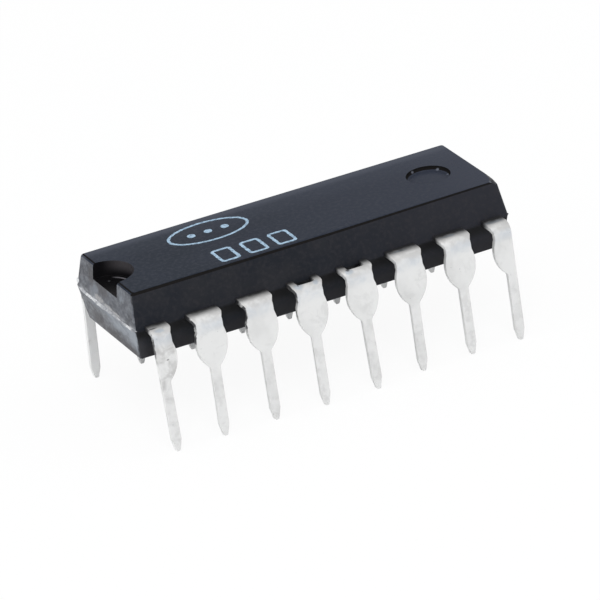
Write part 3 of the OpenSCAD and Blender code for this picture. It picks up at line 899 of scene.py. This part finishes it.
def printed_edge(points, seed):
    """The closed outline with close points and an uneven edge, as ink has."""
    made = []
    for a, b in zip(points, points[1:] + points[:1]):
        a, b = Vector(a), Vector(b)
        steps = max(1, round((b - a).length / INK_STEP))
        made += [a.lerp(b, i / steps) for i in range(steps)]
    return [(p.x + INK_WANDER * noise.noise(Vector((p.x * 8, p.y * 8, seed))),
             p.y + INK_WANDER * noise.noise(Vector((p.x * 8, p.y * 8, seed + 9)))) for p in made]


def moved(points, place):
    """The points, taken to a place."""
    return [(x + place[0], y + place[1]) for x, y in points]


def ellipse(half_x, half_y, count):
    """Points of an ellipse, anticlockwise."""
    turns = [math.tau * i / count for i in range(count)]
    return [(half_x * math.cos(turn), half_y * math.sin(turn)) for turn in turns]


def ink_band(bm, outer, inner, low, high):
    """A closed band of ink between two outlines."""
    rings = []
    for points, seed in ((outer, 1), (inner, 2)):
        edge = printed_edge(points, seed)
        rings.append([[bm.verts.new((x, y, z)) for x, y in edge] for z in (low, high)])
    for ring in rings:
        count = len(ring[0])
        for i in range(count):
            j = (i + 1) % count
            bm.faces.new((ring[0][i], ring[0][j], ring[1][j], ring[1][i]))
    for level in (0, 1):
        edges = []
        for ring in rings:
            points = ring[level]
            edges += [bm.edges.get(pair) for pair in zip(points, points[1:] + points[:1])]
        bmesh.ops.triangle_fill(bm, use_beauty=True, use_dissolve=False, edges=edges)


def ink_spot(bm, place, low, high):
    """A round spot of ink."""
    points = printed_edge(moved(ellipse(SPOT_R, SPOT_R, 24), place), 3)
    loft(bm, [[(*p, low) for p in points], [(*p, high) for p in points]])


def make_ink(finish):
    """The generic marks on the top."""
    bm = bmesh.new()
    low = TOP_H - INK_SUNK
    high = TOP_H + INK_T
    ink_band(bm, *[moved(ellipse(*size, 72), OVAL_PLACE) for size in OVAL_SIZES], low, high)
    for along in SPOT_PLACES:
        ink_spot(bm, (OVAL_PLACE[0] + along, OVAL_PLACE[1]), low, high)
    for place in TABLET_PLACES:
        ink_band(bm, *[moved(outline(*size, 5), place) for size in TABLET_SIZES], low, high)
    mesh_piece("ink_marks", bm, "mould_compound", finish)


def blend_shaders(n, share, first, second, output):
    """Sends the first shader to the output, and the second in its place by the share."""
    blend = n.add("ShaderNodeMixShader", Fac=share)
    n.tree.links.new(first.outputs[0], blend.inputs[1])
    n.tree.links.new(second.outputs[0], blend.inputs[2])
    n.tree.links.new(blend.outputs[0], n.tree.nodes[output].inputs["Surface"])


def add_floor():
    """A white floor that the camera sees nearly as bright as the sky, and that keeps the shadow."""
    bpy.ops.mesh.primitive_plane_add(size=3, location=(0, 0, FLOOR_Z))
    floor = bpy.context.object
    floor.name = "floor"
    made = material("floor_white", lambda n: {}, Base_Color=(1, 1, 1, 1), Roughness=0.9,
                    Specular_IOR_Level=0.0)
    n = Nodes(made.node_tree)
    path = n.add("ShaderNodeLightPath").outputs
    glow = n.add("ShaderNodeEmission", Color=(1, 1, 1, 1), Strength=1.0)
    share = n.times(path["Is Camera Ray"], FLOOR_WHITE)
    blend_shaders(n, share, n.tree.nodes["Principled BSDF"], glow, "Material Output")
    floor.data.materials.append(made)


def add_world():
    """A pale sky that lights the part softly and is plain white where it is seen or mirrored."""
    world = bpy.data.worlds.new("studio")
    world.use_nodes = True
    bpy.context.scene.world = world
    n = Nodes(world.node_tree)
    lit = n.tree.nodes["Background"]
    n.fill(lit, {"Color": (0.97, 0.985, 1.0, 1), "Strength": SKY_LEVEL})
    seen = n.add("ShaderNodeBackground", Color=(1, 1, 1, 1), Strength=1.0)
    path = n.add("ShaderNodeLightPath").outputs
    rays = n.math("MAXIMUM", path["Is Camera Ray"], path["Is Glossy Ray"])
    rays = n.math("MAXIMUM", rays, path["Is Transmission Ray"])
    blend_shaders(n, rays, lit, seen, "World Output")


def add_lamp(name, place, size, level):
    """A soft square lamp aimed at the part. A white card that faces it gets the brightness level."""
    place = Vector(place)
    data = bpy.data.lights.new(name, "AREA")
    data.shape = "SQUARE"
    data.size = size
    data.energy = level * math.pi ** 2 * place.length_squared
    lamp = bpy.data.objects.new(name, data)
    lamp.location = place
    lamp.rotation_euler = (-place).to_track_quat("-Z", "Y").to_euler()
    bpy.context.scene.collection.objects.link(lamp)


clear_start_objects()
add_camera()
add_world()
add_floor()
for lamp_name, lamp_settings in LAMPS.items():
    add_lamp(lamp_name, *lamp_settings)

# In the order of FLAT, SIDE, END, NOTCH and SHADE_PAINTED_EDGE
epoxy = [material("epoxy_top", top_epoxy, IOR=1.08),
         material("epoxy_side", side_epoxy, IOR=1.2),
         material("epoxy_end", end_epoxy, IOR=1.3),
         material("epoxy_notch", notch_epoxy, IOR=1.1),
         material("epoxy_edge_painted_shade", shade_painted_edge_epoxy, IOR=1.05)]
tin_plate = material("tin_plate", tin, Metallic=0.3)

make_body(epoxy)
make_flash(-1, material("epoxy_flash", flash_epoxy, IOR=1.4))
make_flash(1, epoxy[SIDE])
make_ink(material("marking_ink", ink, IOR=1.4))
for lead_number in range(1, LEADS + 1):
    make_lead(lead_number, tin_plate)

inner_finishes = {"die_paddle": material("frame_alloy", frame_alloy, Metallic=1.0),
                  "die_attach": material("silver_glue", silver_glue, Metallic=0.4),
                  "die": material("silicon", silicon, Metallic=0.3)}
gold_wire = material("gold", gold, Metallic=1.0)
for wire_number in range(1, LEADS + 1):
    inner_finishes[f"bond_wire_{wire_number:02d}"] = gold_wire
for node_name, finish in inner_finishes.items():
    node_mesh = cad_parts[node_name].data
    node_mesh.materials.clear()
    node_mesh.materials.append(finish)

bpy.context.scene.view_settings.view_transform = "Standard"
